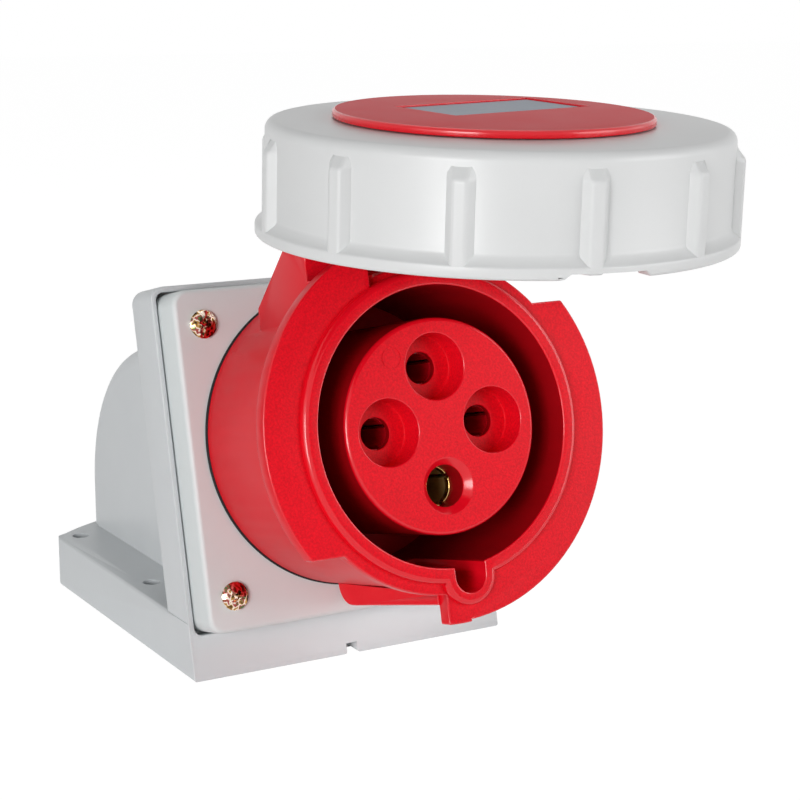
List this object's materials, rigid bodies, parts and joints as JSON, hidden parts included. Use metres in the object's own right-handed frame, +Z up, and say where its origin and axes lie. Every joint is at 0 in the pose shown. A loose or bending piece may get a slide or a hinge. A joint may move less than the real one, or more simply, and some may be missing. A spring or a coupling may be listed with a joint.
{
  "type": "surface mount pin and sleeve socket",
  "caption": "Angled surface mount power socket: red pin and sleeve outlet on a grey domed box, with a hinged lid and a white bayonet lock ring standing open.",
  "frame": {"origin": "centre of the four mounting holes on the base plane", "axes": "+Z up from the base plane, -Y towards the socket mouth, +X to the right of someone facing the mouth"},
  "size_m": [0.1192, 0.2823, 0.1635],
  "materials": {
    "box_plastic": "satin",
    "plate_plastic": "satin",
    "gland_plastic": "satin",
    "red_plastic": "semi-gloss",
    "ring_plastic": "gloss",
    "carrier_plastic": "matt",
    "seal_rubber": "matt",
    "contact_brass": "turned",
    "steel": "bright",
    "zinc_steel": "yellow zinc",
    "label_metal": "satin"
  },
  "bodies": {
    "socket": {"mounting_box": "box_plastic", "plate_gasket": "seal_rubber", "socket_plate": "plate_plastic", "plate_screws": "zinc_steel", "sleeve_seal": "seal_rubber", "socket_sleeve": "red_plastic", "contact_insert": "red_plastic", "phase_contact_1": "contact_brass", "phase_contact_2": "contact_brass", "phase_contact_3": "contact_brass", "earth_contact": "contact_brass", "contact_spring_1": "steel", "contact_spring_2": "steel", "contact_spring_3": "steel", "earth_spring": "steel", "terminal_carrier": "carrier_plastic", "terminal_screws": "zinc_steel", "carrier_screws": "steel", "sleeve_screws": "steel", "hinge_pin": "steel", "gland_body": "gland_plastic", "gland_locknut": "gland_plastic", "gland_seal": "seal_rubber", "gland_nut": "gland_plastic"},
    "lid": {"lid_cap": "red_plastic", "cap_disc": "red_plastic", "cap_screws": "steel", "lid_gasket": "seal_rubber", "rating_label": "label_metal"},
    "ring": {"lock_ring": "ring_plastic"}
  },
  "joints": [
    {"name": "lid_hinge", "type": "hinge", "parent": "socket", "child": "lid", "pos_m": [0, -0.0965, 0.12654], "axis": [-1, 0, 0], "range_deg": [-74, 30]},
    {"name": "ring_turn", "type": "hinge", "parent": "lid", "child": "ring", "pos_m": [0, -0.15121, 0.14438], "axis": [0, 0.0471, -0.9989], "range_deg": [0, 60]}
  ]
}
